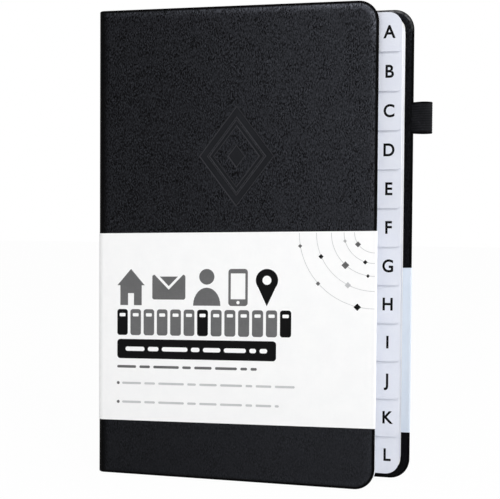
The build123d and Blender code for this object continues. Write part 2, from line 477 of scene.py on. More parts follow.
def makeHandling():
    # soft uneven polish where hands and other books have rubbed
    look = handlingLook
    group, given, result = newGroup("handling", ["Size"], ["Mask"])
    broad = noiseNode(group, given["Vector"], given["Size"], *look["noise"])
    drawnOut = mapVector(group, given["Vector"], **look["streaks"])
    streaks = noiseNode(group, drawnOut, given["Size"], *look["streakNoise"])
    both = times(group, plus(group, broad, streaks), 0.5)
    group.links.new(rangeNode(group, both, look["edge"], (0, 1)), result["Mask"])
    return group


def makeWeave():
    # plain weave of round threads
    group, given, result = newGroup("weave", ["Across", "Up"], ["Height"])
    x, y, z = splitVector(group, given["Vector"])
    waves = []
    for value, count in ((plus(group, x, y), given["Across"]), (z, given["Up"])):
        waves.append(mathNode(group, "SINE", times(group, value, count, fullTurn)))
    crossing = times(group, *waves)
    group.links.new(rangeNode(group, crossing, (-1, 1), (0, 1), smooth=False), result["Height"])
    return group


paperFibre = makePaperFibre()
handling = makeHandling()
weave = makeWeave()


# Black leather with short upright creases between small pebbles
leatherLook = {
    "deep": (0.0010, 0.0010, 0.0012),
    "crown": (0.0282, 0.0298, 0.0354),
    "rim": (0.0006, 0.0006, 0.0007),  # painted shade on the free edges, the spine's corners, the turn-ins and the foot
    "glintColour": (0.150, 0.150, 0.153),  # painted highlight: a light glint along the inner edge at the head
    # lighter tone of the tooled lips: painted highlight on the lozenge's edges
    "lip": (0.034, 0.0345, 0.039),
    "pressed": (0.0150, 0.0158, 0.0187),
    "pressedDim": (0.0120, 0.0127, 0.0150),
    "roughness": (0.58, 0.44),  # in the creases and on the pebbles
    "polish": -0.05,  # change of roughness where it is rubbed
    "rubSize": 24,
    "bump": (0.8, 0.3 * mm),  # strength and depth
    # grain: sizes of its parts, and their shares of its height
    "pebbleScale": 1850,
    "pebbleShare": 0.35,
    "stretch": 0.43,
    "lean": 12,  # degrees
    "drift": 560,
    "warp": 0.9 * mm,
    "crease": 0.34,
    "streaks": 2050,
    "streakNoise": (1, 0.5),
    "streakEdge": (0.3, 0.7),
    "streakShare": 0.5,
    "pores": 3400,
    "poreNoise": (3, 0.6),
    "poreShare": 0.15,
    "middle": 0.55,  # height that has the middle tone
    "contrast": 0.38,
    "patches": 130,
    "patchEdge": (0.38, 0.62),
    "patchShare": (0.6, 1),
    "grainAcross": (1.3, 0.95),  # strength at the hinge and at the fore edge
    "calmHeights": (20 * mm, 110 * mm),  # the grain fades between these towards the foot
    "calmShare": 0.5,
    "calmShade": 0.85,  # painted shade: the leather is darker there
    # edges, where shade and a highlight are painted: how far in from the free edge each one fades, and where
    # up the book, as shares of its height
    "edgeShadeFade": (0.9 * mm, 1.5 * mm),
    "footFade": (0, 2.6 * mm),
    "footHeights": (0, 0.08),
    "footShade": 0.75,
    "bendIn": 2 * mm,  # painted shade round the spine's corners: fade past the spine's flat, and before and after the start of the cover
    "bendOut": (1 * mm, 3 * mm),
    # painted shade on the turn-ins inside the covers
    "insideDepth": (0.4, 0.6),  # shares of the slab
    "insideShade": 0.85,
    # painted glint: where it starts and ends in from the edge, and where up the book
    "glintStart": (0.27 * mm, 0.45 * mm),
    "glintEnd": (1.1 * mm, 1.43 * mm),
    "glintHeights": (0.95, 0.98),
    "glintBreakup": 420,
    "glintBreakupEdge": (0.4, 0.6),
    "glintBreakupShare": (0.3, 1),
    # painted light: the cover is lighter towards the head and the fore edge
    "base": 0.95,
    "lift": (0.47, 0.93),
    "sheen": 2.6,  # painted highlight: how much lighter the roll-off is at the head's fore corner
    "sheenFade": (1.2 * mm, 5.5 * mm),
    "sheenHeights": (0.88, 0.985),
    "sheenShare": (0.12, 1),
    "sheenAcross": (0.35, 1),
}
pressedLook = {"roughness": (0.52, 0.4), "poreEdge": (0.3, 0.7), "rubSize": 90, "bump": (0.2, 0.06 * mm)}


def makeHideEdge():
    # where the hide is near its free edges, and where it goes round the spine's corners: masks of painted
    # shade, a painted glint and painted light, and the grain's strength
    look = leatherLook
    high, radius, start = case["height"], case["cornerRadius"], case["coverStart"]
    group, given, result = newGroup("hideEdge", [], ["Rim", "PaintedGlint", "Bright", "Grain"])
    along, depth, up = splitVector(group, given["Vector"])
    reach = mathNode(group, "ABSOLUTE", along)
    lengths = (sides["back"]["length"], sides["front"]["length"])
    fore = minus(group, rangeNode(group, along, (-tiny, tiny), lengths, smooth=False), reach)
    ends = mathNode(group, "MINIMUM", up, minus(group, high, up))
    squares = []
    for distance in (fore, ends):
        within = largest(group, minus(group, radius, distance), 0)
        squares.append(times(group, within, within))
    edge = minus(group, radius, mathNode(group, "SQRT", plus(group, *squares)))
    inside = rangeNode(group, depth, sharesOf(case["slab"], look["insideDepth"]), (0, 1))

    # painted shade along the free edges, on the turn-ins, round the spine's corners and at the foot
    rim = rangeNode(group, edge, look["edgeShadeFade"], (1, 0))
    before, after = look["bendOut"]
    bendIn = rangeNode(group, reach, (case["halfSpine"], case["halfSpine"] + look["bendIn"]), (0, 1))
    bendOut = rangeNode(group, reach, (start - before, start + after), (1, 0))
    atFoot = rangeNode(group, up, sharesOf(high, look["footHeights"]), (look["footShade"], 0))
    foot = times(group, rangeNode(group, edge, look["footFade"], (1, 0)), atFoot)
    dark = largest(group, times(group, inside, look["insideShade"]), rim, times(group, bendIn, bendOut), foot)
    group.links.new(dark, result["Rim"])

    # painted glint along the inner edge at the head
    atHead = rangeNode(group, up, sharesOf(high, look["glintHeights"]), (0, 1))
    glintStart = rangeNode(group, edge, look["glintStart"], (0, 1))
    glintEnd = rangeNode(group, edge, look["glintEnd"], (1, 0))
    group.links.new(times(group, atHead, inside, glintStart, glintEnd), result["PaintedGlint"])

    acrossCover = rangeNode(group, reach, (start, sides["front"]["length"]), (0, 1))
    calm = rangeNode(group, up, look["calmHeights"], (look["calmShare"], 1))
    across = rangeNode(group, acrossCover, (0, 1), look["grainAcross"], smooth=False)
    group.links.new(times(group, calm, across), result["Grain"])

    # painted light: lighter up the book and towards the fore edge, a painted highlight on the roll-off at the
    # head, and painted shade towards the foot
    lift = rangeNode(group, up, (0, high), look["lift"], smooth=False)
    falloff = rangeNode(group, edge, look["sheenFade"], (1, 0))
    nearHead = rangeNode(group, up, sharesOf(high, look["sheenHeights"]), look["sheenShare"])
    nearFore = rangeNode(group, acrossCover, (0, 1), look["sheenAcross"], smooth=False)
    sheen = times(group, falloff, falloff, nearHead, nearFore)
    bright = plus(group, times(group, acrossCover, lift), look["base"])
    glow = plus(group, times(group, sheen, look["sheen"]), 1)
    calmTone = rangeNode(group, up, look["calmHeights"], (look["calmShade"], 1))
    group.links.new(times(group, bright, glow, calmTone), result["Bright"])
    return group


def makeLeather(hideEdge):
    look = leatherLook
    material, tree, shader = newMaterial("blackLeather", roughness=0.5, specular=0.03)
    place = flatPlace(tree)
    edge = useGroup(tree, hideEdge, place)
    stretched = mapVector(tree, place, scale=(1, 1, look["stretch"]), turn=(0, look["lean"], 0))
    warped = warpVector(tree, stretched, place, look["drift"], look["warp"])
    cells = addNode(tree, "ShaderNodeTexVoronoi", feature="DISTANCE_TO_EDGE")
    cells.inputs["Scale"].default_value = look["pebbleScale"]
    tree.links.new(warped, cells.inputs["Vector"])
    pebbles = rangeNode(tree, cells.outputs["Distance"], (0, look["crease"]), (0, 1))
    drawnOut = noiseNode(tree, warped, look["streaks"], *look["streakNoise"])
    streaks = rangeNode(tree, drawnOut, look["streakEdge"], (0, 1))
    pores = noiseNode(tree, place, look["pores"], *look["poreNoise"])
    height = plus(
        tree,
        times(tree, streaks, look["streakShare"]),
        times(tree, pebbles, look["pebbleShare"]),
        times(tree, pores, look["poreShare"]),
    )
    patches = rangeNode(tree, noiseNode(tree, place, look["patches"]), look["patchEdge"], look["patchShare"])
    grain = times(tree, minus(tree, height, look["middle"]), patches, edge["Grain"])
    shade = rangeNode(tree, grain, (-look["contrast"], look["contrast"]), (0, 1), smooth=False)
    # the grain's tone carries the painted light
    toned = addNode(tree, "ShaderNodeVectorMath", operation="SCALE")
    tree.links.new(mixColour(tree, shade, look["deep"], look["crown"]), toned.inputs[0])
    tree.links.new(edge["Bright"], toned.inputs["Scale"])
    # painted shade laid over the cover's tone
    edgeShaded = mixColour(tree, edge["Rim"], toned.outputs[0], look["rim"])
    # painted glint, broken up by noise
    glintBreakup = rangeNode(tree, noiseNode(tree, place, look["glintBreakup"]), look["glintBreakupEdge"], look["glintBreakupShare"])
    colour = mixColour(tree, times(tree, edge["PaintedGlint"], glintBreakup), edgeShaded, look["glintColour"])
    rubbed = useGroup(tree, handling, place, Size=look["rubSize"])["Mask"]
    dull = rangeNode(tree, height, (0, 1), look["roughness"])
    roughness = plus(tree, dull, times(tree, rubbed, look["polish"]))
    finishShader(tree, shader, colour, bumpNode(tree, height, *look["bump"]), roughness)
    return material


def makePressedLeather(name, light, dim):
    # grain ironed flat under a hot tool
    look = pressedLook
    material, tree, shader = newMaterial(name, roughness=0.45, specular=0.03)
    place = flatPlace(tree)
    pores = noiseNode(tree, place, leatherLook["pores"], *leatherLook["poreNoise"])
    rubbed = useGroup(tree, handling, place, Size=look["rubSize"])["Mask"]
    roughness = rangeNode(tree, pores, look["poreEdge"], look["roughness"])
    colour = mixColour(tree, rubbed, dim, light)
    finishShader(tree, shader, colour, bumpNode(tree, pores, *look["bump"]), roughness)
    return material


# Uncoated papers: pages with ruled entry lines, and plain endpapers
paperLook = {
    # the pages' tone is partly the paper's own and partly painted shade: dimmer and bluer than the cut edges,
    # as the tabs lie in shade behind the front cover
    "page": (0.705, 0.727, 0.797),
    "pageDim": (0.670, 0.694, 0.772),
    "cut": (0.84, 0.85, 0.87),  # fore edges of the leaves
    "cutDim": (0.80, 0.81, 0.835),
    "endpaper": (0.83, 0.82, 0.80),
    "endpaperDim": (0.77, 0.76, 0.735),
    "fineness": 2600,
    "toneEdge": (0.35, 0.65),
    "bump": (0.25, 0.04 * mm),
    "rule": (0.42, 0.45, 0.52),
    "ruleStep": 7 * mm,
    "ruleWidth": 0.22 * mm,
    "ruleFoot": 14 * mm,  # bare margins at foot, head, fold and fore edge
    "ruleHead": 24 * mm,
    "ruleFold": 14 * mm,
    "ruleFore": 5 * mm,
    "ruleSlack": 1 * mm,  # room for the width of the lowest line
}


def makePaper(name, tone, ruledBox=None):
    look = paperLook
    material, tree, shader = newMaterial(name, roughness=0.85, specular=0.3)
    place = objectPlace(tree)
    fibre = useGroup(tree, paperFibre, place, Fineness=look["fineness"])
    cloud = rangeNode(tree, fibre["Tone"], look["toneEdge"], (0, 1))
    colour = mixColour(tree, cloud, look[tone + "Dim"], look[tone])
    if ruledBox:
        colour = addRules(tree, place, colour, ruledBox)
    finishShader(tree, shader, colour, bumpNode(tree, fibre["Height"], *look["bump"]))
    return material


def addRules(tree, place, colour, ruledBox):
    # faint lines at an even step, kept inside the margins
    look = paperLook
    lowX, highX, lowZ, highZ = ruledBox
    across, _, up = splitVector(tree, place)
    step = mathNode(tree, "PINGPONG", minus(tree, up, lowZ), look["ruleStep"] / 2)
    line = mathNode(tree, "LESS_THAN", step, look["ruleWidth"] / 2)
    for value, low, high in ((across, lowX, highX), (up, lowZ - look["ruleSlack"], highZ)):
        past = mathNode(tree, "GREATER_THAN", value, low)
        short = mathNode(tree, "LESS_THAN", value, high)
        line = times(tree, line, past, short)
    return mixColour(tree, line, colour, look["rule"])


# Smooth coated band paper and its inks
bandLook = {
    "paper": (0.925, 0.925, 0.925),
    "paperDim": (0.90, 0.902, 0.905),
    "flap": (0.672, 0.735, 0.820),
    "flapDim": (0.642, 0.710, 0.800),
    "greyInk": (0.150, 0.150, 0.152),
    "greyInkDim": (0.125, 0.125, 0.128),
    "blackInk": (0.0030, 0.0030, 0.0034),
    "blackInkDim": (0.0018, 0.0018, 0.0020),
    "paleInk": (0.56, 0.565, 0.575),
    "paleInkDim": (0.50, 0.505, 0.515),
    "fineness": 1800,
    "toneEdge": (0.35, 0.65),
    "rubSize": 30,
    "polish": 0.06,  # how far the roughness goes to each side
    "bump": (0.12, 0.02 * mm),
}


def makeBandSurface(name, tone, place, roughness, specular):
    look = bandLook
    material, tree, shader = newMaterial(name, roughness, specular)
    where = place(tree)
    fibre = useGroup(tree, paperFibre, where, Fineness=look["fineness"])
    rubbed = useGroup(tree, handling, where, Size=look["rubSize"])["Mask"]
    cloud = rangeNode(tree, fibre["Tone"], look["toneEdge"], (0, 1))
    colour = mixColour(tree, cloud, look[tone + "Dim"], look[tone])
    dull = rangeNode(tree, rubbed, (0, 1), (roughness + look["polish"], roughness - look["polish"]))
    finishShader(tree, shader, colour, bumpNode(tree, fibre["Height"], *look["bump"]), dull)
    return material


# Woven and wound threads
elasticLook = {
    "thread": (0.0200, 0.0205, 0.0235),
    "gap": (0.0006, 0.0006, 0.0007),
    "threads": 1100,  # to the metre
    "ribEdge": (-0.6, 0.8),
    "ribShade": (1, 0.55),
    "knitShade": (0.5, 1),
    "rubSize": 180,
    "rubShade": (0.7, 1),
    "bump": (0.4, 0.12 * mm),
}
liningLook = {
    "thread": (0.70, 0.68, 0.62),
    "gap": (0.45, 0.43, 0.38),
    "threads": 700,
    "bump": (0.6, 0.2 * mm),
}
woundLook = {
    "dark": (0.012, 0.012, 0.014),
    "light": (0.72, 0.71, 0.69),
    "edge": (0.45, 0.55),
    "strandStretch": (1, 0.15, 1),
    "strands": 6000,
    "bump": (0.4, 0.05 * mm),
}


def makeElastic():
    look = elasticLook
    material, tree, shader = newMaterial("ribbedElastic", roughness=0.72, specular=0.03)
    place = flatPlace(tree)
    up = splitVector(tree, place)[2]
    knit = useGroup(tree, weave, place, Across=look["threads"], Up=look["threads"])["Height"]
    turn = times(tree, minus(tree, up, loopLow.z), fullTurn / loop["ribPitch"])
    rib = rangeNode(tree, mathNode(tree, "COSINE", turn), look["ribEdge"], look["ribShade"])
    halfWidth = (loopHigh.z - loopLow.z) / 2
    out = mathNode(tree, "ABSOLUTE", minus(tree, up, loopLow.z + halfWidth))
    selvage = rangeNode(tree, out, [halfWidth - inset for inset in loop["selvage"]], (1, 0))
    threads = rangeNode(tree, knit, (0, 1), look["knitShade"])
    rubbed = useGroup(tree, handling, place, Size=look["rubSize"])["Mask"]
    shade = times(tree, threads, rangeNode(tree, rubbed, (0, 1), look["rubShade"]), rib, selvage)
    colour = mixColour(tree, shade, look["gap"], look["thread"])
    finishShader(tree, shader, colour, bumpNode(tree, knit, *look["bump"]))
    return material


def makeLining():
    look = liningLook
    material, tree, shader = newMaterial("liningCloth", roughness=0.9, specular=0.2)
    threads = useGroup(tree, weave, objectPlace(tree), Across=look["threads"], Up=look["threads"])["Height"]
    colour = mixColour(tree, threads, look["gap"], look["thread"])
    finishShader(tree, shader, colour, bumpNode(tree, threads, *look["bump"]))
    return material


def makeWoundThread(pitch):
    # dark and light thread wound turn about
    look = woundLook
    material, tree, shader = newMaterial("woundThread", roughness=0.7, specular=0.3)
    place = objectPlace(tree)
    along = splitVector(tree, place)[1]
    turns = mathNode(tree, "PINGPONG", mathNode(tree, "DIVIDE", along, pitch), 1)
    colour = mixColour(tree, rangeNode(tree, turns, look["edge"], (0, 1)), look["dark"], look["light"])
    strands = noiseNode(tree, mapVector(tree, place, scale=look["strandStretch"]), look["strands"])
    finishShader(tree, shader, colour, bumpNode(tree, strands, *look["bump"]))
    return material


# Index leaves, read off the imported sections
sectionLetters = list("abcdefghijklmnopqrstuvw") + ["xyz"]
pageLow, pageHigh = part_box("section_l")
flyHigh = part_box("front_flyleaf")[1]
aLow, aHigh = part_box("section_a")
leaf = {
    "rows": 12,
    "leaves": 5,  # folded leaves modelled in each section
    "leafThickness": 0.145 * mm,
    "foldX": pageLow.x,
    "foreX": pageHigh.x,
    "cutBackX": flyHigh.x,
    "foot": pageLow.z,
    "head": pageHigh.z,
    "cornerRadius": 6 * mm,
    "tabRadius": 2 * mm,
    "cornerSegments": 8,
    "taperEnd": pageLow.x + 6.125 * mm,
    "foldShare": 0.35,  # thickness left at the fold
    "raggedEdge": 0.09 * mm,
    "raggedSeed": 12,
    "cutFacing": 0.7,  # a face turned this far to the fore edge counts as cut
    "thickness": aHigh.y - aLow.y,
}
leaf["rowHeight"] = (leaf["head"] - leaf["foot"]) / leaf["rows"]
leaf["leafStep"] = (leaf["thickness"] - leaf["leafThickness"]) / (leaf["leaves"] - 1)
entryLines = (  # where the pages are ruled
    leaf["foldX"] + paperLook["ruleFold"],
    leaf["cutBackX"] - paperLook["ruleFore"],
    leaf["foot"] + paperLook["ruleFoot"],
    leaf["head"] - paperLook["ruleHead"],
)

leatherSkin = makeLeather(makeHideEdge())
pressedLeather = makePressedLeather("pressedLeather", leatherLook["pressed"], leatherLook["pressedDim"])
# the lips' lighter tone is a painted highlight
toolLipHighlight = makePressedLeather("toolLipHighlight", leatherLook["lip"], leatherLook["lip"])
pagePaper = makePaper("pagePaper", "page", entryLines)
cutPaper = makePaper("cutPaper", "cut")
endPaper = makePaper("endPaper", "endpaper")
bandPaper = makeBandSurface("bandPaper", "paper", flatPlace, roughness=0.5, specular=0.2)
flapPaper = makeBandSurface("flapPaper", "flap", flatPlace, roughness=0.6, specular=0.15)
inks = {
    "grey": makeBandSurface("greyInk", "greyInk", objectPlace, roughness=0.5, specular=0.06),
    "black": makeBandSurface("blackInk", "blackInk", objectPlace, roughness=0.5, specular=0.06),
    "pale": makeBandSurface("paleInk", "paleInk", objectPlace, roughness=0.5, specular=0.1),
    "white": makeBandSurface("whiteInk", "paper", objectPlace, roughness=0.5, specular=0.2),
}
liningCloth = makeLining()
print("materials made:", len(bpy.data.materials))


# Leather case: each half runs from the middle of the spine over the rounded corner and round its cover

def makeCaseHalf(name, side):
    length, height = side["length"], case["height"]
    skin, slab = case["leather"], case["slab"]
    half = addPlate(name, 0, length, 0, height)
    dress(half, leatherSkin, pressedLeather, toolLipHighlight)
    cutColumns(case["halfSpine"], case["bendLength"], case["bendColumns"])
    pick(half, "VERT", lambda place: place.x > length - tiny)
    roundCorners(case["cornerRadius"], case["cornerSegments"])
    pickAll()
    for step in case["crownInsets"]:
        bpy.ops.mesh.inset(thickness=step, use_boundary=True)
    pickAll()
    extrude(skin)
    pick(half, "FACE", lambda place, normal: abs(place.y - skin) < tiny
         and not case["halfSpine"] < place.x < case["coverStart"])
    extrude(slab - skin)
    facesOut(half)
    for depth, rounding in ((0, case["edgeRound"]), (slab, case["innerRound"])):
        pick(half, "EDGE", lambda a, b, bend: bend > case["sharpBend"]
             and abs(a.y - depth) < tiny and abs(b.y - depth) < tiny
             and max(a.x, b.x) > tiny and freeEdge(a, b, length, height))
        bpy.ops.mesh.bevel(offset=rounding, segments=case["edgeSegments"], affect="EDGES")
    objectMode()
    crownWidth = sum(case["crownInsets"])
    for vertex in half.data.vertices:
        x, y, z = vertex.co
        rise = min(max((x - case["coverStart"]) / crownWidth, 0), 1)
        near = max(1 - edgeDistance(x, z, length, height) / crownWidth, 0)
        if y < skin - tiny:
            vertex.co.y += case["crownDrop"] * rise * near ** 2 * (1 - y / skin)
    return half


def edgeDistance(x, z, length, height):
    # from the head, tail or fore edge, round the corners too
    radius = case["cornerRadius"]
    fore = max(radius - (length - x), 0)
    ends = max(radius - min(z, height - z), 0)
    return radius - math.hypot(fore, ends)


def freeEdge(a, b, length, height):
    # head, tail and fore edge of the flat hide
    atTail = max(a.z, b.z) < tiny
    atHead = min(a.z, b.z) > height - tiny
    atFore = min(a.x, b.x) > length - case["cornerRadius"] - tiny
    return atTail or atHead or atFore


# Blind-tooled lozenge on the front cover
lozenge = {
    "place": (-9.4 * mm, 144.1 * mm),
    "cuts": [  # width, height and line of each; the last is solid
        (33 * mm, 43 * mm, 2.4 * mm),
        (24 * mm, 31.3 * mm, 1.1 * mm),
        (7 * mm, 9.1 * mm, 0),
    ],
    "depth": 0.45 * mm,
    "lip": 0.42 * mm,
    "lipSegments": 4,
}


def cutLozenge(half, along, up, width, height, line):
    tool = addDisc("toolingIron", 4, 0.5, (along, -lozenge["depth"], up))
    standUp(tool, width, height)
    pickAll()
    if line:
        keepBorder(line)
        pickAll()
    extrude(2 * lozenge["depth"])
    facesOut(tool)
    useModifier(half, "BOOLEAN", object=tool, operation="DIFFERENCE", solver="EXACT")
    bpy.data.objects.remove(tool)


def toolFrontCover(half):
    along = case["coverStart"] + lozenge["place"][0] - case["hingeX"]
    up = lozenge["place"][1]
    for width, height, line in lozenge["cuts"]:
        cutLozenge(half, along, up, width, height, line)
    reach = max(height for _, height, _ in lozenge["cuts"])
    lip = lozenge["lip"]

    def tooled(place):
        return abs(place.x - along) < reach and abs(place.z - up) < reach

    makeActive(half)
    pick(half, "EDGE", lambda a, b, bend: bend > case["sharpBend"] and tooled(a) and tooled(b)
         and max(abs(a.y), abs(b.y)) < tiny)
    bpy.ops.mesh.bevel(offset=lip, segments=lozenge["lipSegments"], affect="EDGES")
    for slot, low, high in ((1, lip, lozenge["depth"] + tiny), (2, tiny, lip)):
        paintFaces(half, slot, lambda place, normal: low < place.y < high and tooled(place))


def finishCaseHalf(half, side, nodeNames):
    wrapOnCase(half, side, spineRuns + [openRun])
    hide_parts(*nodeNames)
    bendWithCover(half)


frontNodes = ["front_leather", "front_board", "front_hinge_leather", "spine_leather", "spine_board"]
backNodes = ["back_leather", "back_board", "back_hinge_leather"]
caseFront = makeCaseHalf("caseFront", sides["front"])
toolFrontCover(caseFront)
finishCaseHalf(caseFront, sides["front"], frontNodes)
caseBack = makeCaseHalf("caseBack", sides["back"])
finishCaseHalf(caseBack, sides["back"], backNodes)
print("case made:", len(caseFront.data.polygons) + len(caseBack.data.polygons), "faces")


# Paper band: one strip to each side of the spine's middle, folded in round the fore edge
band = {
    "thickness": case["spineX"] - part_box("band_spine")[0].x,
    "height": 85 * mm,
    "base": 24.2 * mm,  # lower edge at the middle of the spine
    "slope": math.tan(math.radians(1.13)),
    "flapLength": 55 * mm,
    "flapDrop": 11 * mm,  # shoulder cut, which takes in the fold on the back cover
    "flapRadius": 3 * mm,
    "flapSegments": 6,
    "foldRound": 0.5 * mm,
    "foldColumns": 6,
}


def makeBandHalf(name, side, nodeNames):
    rounding = band["foldRound"]
    cover = side["foreX"] - case["hingeX"] - rounding
    bend = rounding * quarterTurn
    edge = case["cover"] - 2 * rounding
    foldStart = case["coverStart"] + cover
    innerBend = foldStart + bend + edge
    flapStart = innerBend + bend
    length = flapStart + band["flapLength"] - rounding
    shoulderFoot = band["height"] - band["flapDrop"]
    shoulder = flapStart if side["sign"] > 0 else foldStart
    strip = addPlate(name, 0, length, 0, band["height"])
    dress(strip, bandPaper, flapPaper)
    cutColumns(case["halfSpine"], case["bendLength"], case["bendColumns"])
    cutColumns(foldStart, bend, band["foldColumns"])
    cutColumns(innerBend, bend, band["foldColumns"])
    cutAt("z", shoulderFoot)
    pick(strip, "FACE", lambda place, normal: place.x > shoulder and place.z > shoulderFoot)
    bpy.ops.mesh.delete(type="FACE")
    pick(strip, "VERT", lambda place: place.x > length - tiny)
    roundCorners(band["flapRadius"], band["flapSegments"])
    pickAll()
    extrude(-band["thickness"])
    paintFaces(strip, 1, lambda place, normal: place.x > innerBend)
    for vertex in strip.data.vertices:
        vertex.co.z += band["base"] + side["sign"] * vertex.co.x * band["slope"]
    foldRuns = [(cover, 0), (bend, rounding), (edge, 0), (bend, rounding), openRun]
    wrapOnCase(strip, side, spineRuns + foldRuns)
    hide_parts(*nodeNames)
    bendWithCover(strip)


makeBandHalf("bandFront", sides["front"], ["band_front", "band_front_fold", "band_spine"])
makeBandHalf("bandBack", sides["back"], ["band_back", "band_back_fold"])
print("band made")


# Print on the band's front: pictures, tabs, blank lines and rings, with no words
# Places are from the hinge line and up from the band's lower edge
bandPrint = {
    "proud": 0.02 * mm,
    "left": 6.6 * mm,
    "cornerSegments": 5,
    "discCorners": 28,
    "dotCorners": 16,
    "tabFoot": 38.8 * mm,
    "tabSize": (5.0 * mm, 11.8 * mm),
    "tabRadius": 1.2 * mm,
    "tabStep": 6.27 * mm,
    "tabCount": 13,
    "blackTabs": (0, 6, 12),
    "tabLabel": (2.8 * mm, 1.5 * mm),
    "tabLabelDrop": 3.3 * mm,  # from the tab's head to the label's foot
    "tabLabelRadius": 0.4 * mm,
    "barFoot": 28.2 * mm,
    "barSize": (73.6 * mm, 8.8 * mm),
    "barRadius": 1.5 * mm,
    "barMargin": 4 * mm,
    "barDash": (0.39, 0.22),  # foot and height of the dashes on it, as shares of its height
    "dashes": [9, 5, 12, 4, 8, 10, 3, 7, 11, 6],  # lengths in millimetres, over and over
    "dashGap": 1.6 * mm,
    "dashRound": 0.45,  # share of a dash's height
    "lines": [
        {"ink": "grey", "foot": 23.9 * mm, "height": 1.2 * mm, "length": 65 * mm, "bullet": False},
        {"ink": "pale", "foot": 16.5 * mm, "height": 1.0 * mm, "length": 82 * mm, "bullet": True},
        {"ink": "pale", "foot": 7.9 * mm, "height": 1.0 * mm, "length": 75 * mm, "bullet": True},
    ],
    "bulletRadius": 0.7,  # shares of a line's height
    "bulletRoom": 2.4,
    "ringDrop": 0.5 * mm,
    "ringRadii": [9 * mm, 13.5 * mm, 19 * mm, 25.5 * mm, 33 * mm],
    "ringLine": 0.22 * mm,
    "ringCorners": 72,
    "beads": [  # ring, degrees round it, size in millimetres, ink
        (0, 215, 1.3, "grey"), (1, 252, 1.0, "black"), (1, 196, 0.8, "pale"), (2, 228, 1.7, "grey"),
        (2, 261, 0.8, "black"), (3, 204, 1.1, "black"), (3, 243, 1.4, "pale"), (4, 222, 1.0, "grey"),
        (4, 257, 1.6, "black"), (4, 190, 0.9, "grey"),
    ],
}
pictures = {
    "foot": 52.4 * mm,
    "height": 16.4 * mm,
    "gap": 3.6 * mm,
    "house": {"width": 13 * mm, "overhang": 1.4 * mm, "door": 2.8 * mm, "eaves": 0.55, "doorTop": 0.6},
    "envelope": {
        "width": 15.5 * mm, "height": 0.68, "radius": 1 * mm,
        "line": 0.8 * mm, "flapWidth": 0.86, "flapHeight": 0.6,
    },
    "person": {"width": 12.6 * mm, "head": 3.5 * mm, "shoulders": 1.28},
    "phone": {
        "width": 8.8 * mm, "radius": 1.4 * mm, "rim": 1.1 * mm,
        "chin": 3 * mm, "brow": 2 * mm, "button": 0.75 * mm,
    },
    "pin": {"radius": 5 * mm, "waist": 0.7, "eye": 2 * mm},
}
inkShapes = {name: [] for name in inks}


def printBlock(ink, left, foot, width, height, radius=0.0):
    block = addPlate("print", left, left + width, foot, foot + height)
    if radius:
        pickAll()
        roundCorners(radius, bandPrint["cornerSegments"])
        objectMode()
    inkShapes[ink].append(block)


def printDisc(ink, across, up, radius, corners=bandPrint["discCorners"], stretch=1, line=0.0):
    # disc, or a ring where a line is given
    disc = addDisc("print", corners, radius, (across, 0, up))
    standUp(disc, 1, stretch)
    if line:
        pickAll()
        keepBorder(line)
        objectMode()
    inkShapes[ink].append(disc)
    return disc


def printTriangle(ink, middle, level, width, height, point, line=0.0):
    # stands on its level side, pointing up (1) or down (-1)
    up = level + point * height / 3
    triangle = printDisc(ink, middle, up, height * 2 / 3, corners=3, line=line)
    evenWidth = height * 2 / math.sqrt(3)
    makeActive(triangle)
    pickAll()
    bpy.ops.transform.resize(value=(width / evenWidth, 1, point), center_override=(middle, 0, up))
    facesOut(triangle)


def trimPrint(shape, place, direction):
    # cuts away what lies beyond a line
    makeActive(shape)
    pickAll()
    bpy.ops.mesh.bisect(plane_co=place, plane_no=direction, clear_outer=True)
    objectMode()


def printDashes(ink, left, foot, length, height):
    end = left + length
    number = 0
    while left < end:
        dash = bandPrint["dashes"][number % len(bandPrint["dashes"])] * mm
        printBlock(ink, left, foot, min(dash, end - left), height, height * bandPrint["dashRound"])
        left += dash + bandPrint["dashGap"]
        number += 1


def printHouse(left, foot, high):
    house = pictures["house"]
    width, door = house["width"], house["door"]
    eaves = house["eaves"] * high
    doorTop = house["doorTop"] * eaves
    wallLeft = left + house["overhang"]
    wall = (width - 2 * house["overhang"] - door) / 2
    printBlock("grey", wallLeft, foot, wall, eaves)
    printBlock("grey", wallLeft + wall + door, foot, wall, eaves)
    printBlock("grey", wallLeft + wall, foot + doorTop, door, eaves - doorTop)
    printTriangle("grey", left + width / 2, foot + eaves, width, high - eaves, point=1)
    return width


def printEnvelope(left, foot, high):
    envelope = pictures["envelope"]
    width, height = envelope["width"], envelope["height"] * high
    low = foot + (high - height) / 2
    printBlock("grey", left, low, width, height, envelope["radius"])
    flapWidth, flapHeight = envelope["flapWidth"] * width, envelope["flapHeight"] * height
    printTriangle(
        "white", left + width / 2, low + height, flapWidth, flapHeight, point=-1, line=envelope["line"])
    return width


def printPerson(left, foot, high):
    person = pictures["person"]
    width, head = person["width"], person["head"]
    shoulders = printDisc("grey", left + width / 2, foot, width / 2, stretch=person["shoulders"])
    trimPrint(shoulders, (0, 0, foot), (0, 0, -1))
    printDisc("grey", left + width / 2, foot + high - head, head)
    return width


def printPhone(left, foot, high):
    phone = pictures["phone"]
    width, rim, chin = phone["width"], phone["rim"], phone["chin"]
    printBlock("grey", left, foot, width, high, phone["radius"])
    printBlock("white", left + rim, foot + chin, width - 2 * rim, high - chin - phone["brow"])
    printDisc("white", left + width / 2, foot + chin / 2, phone["button"], corners=bandPrint["dotCorners"])
    return width


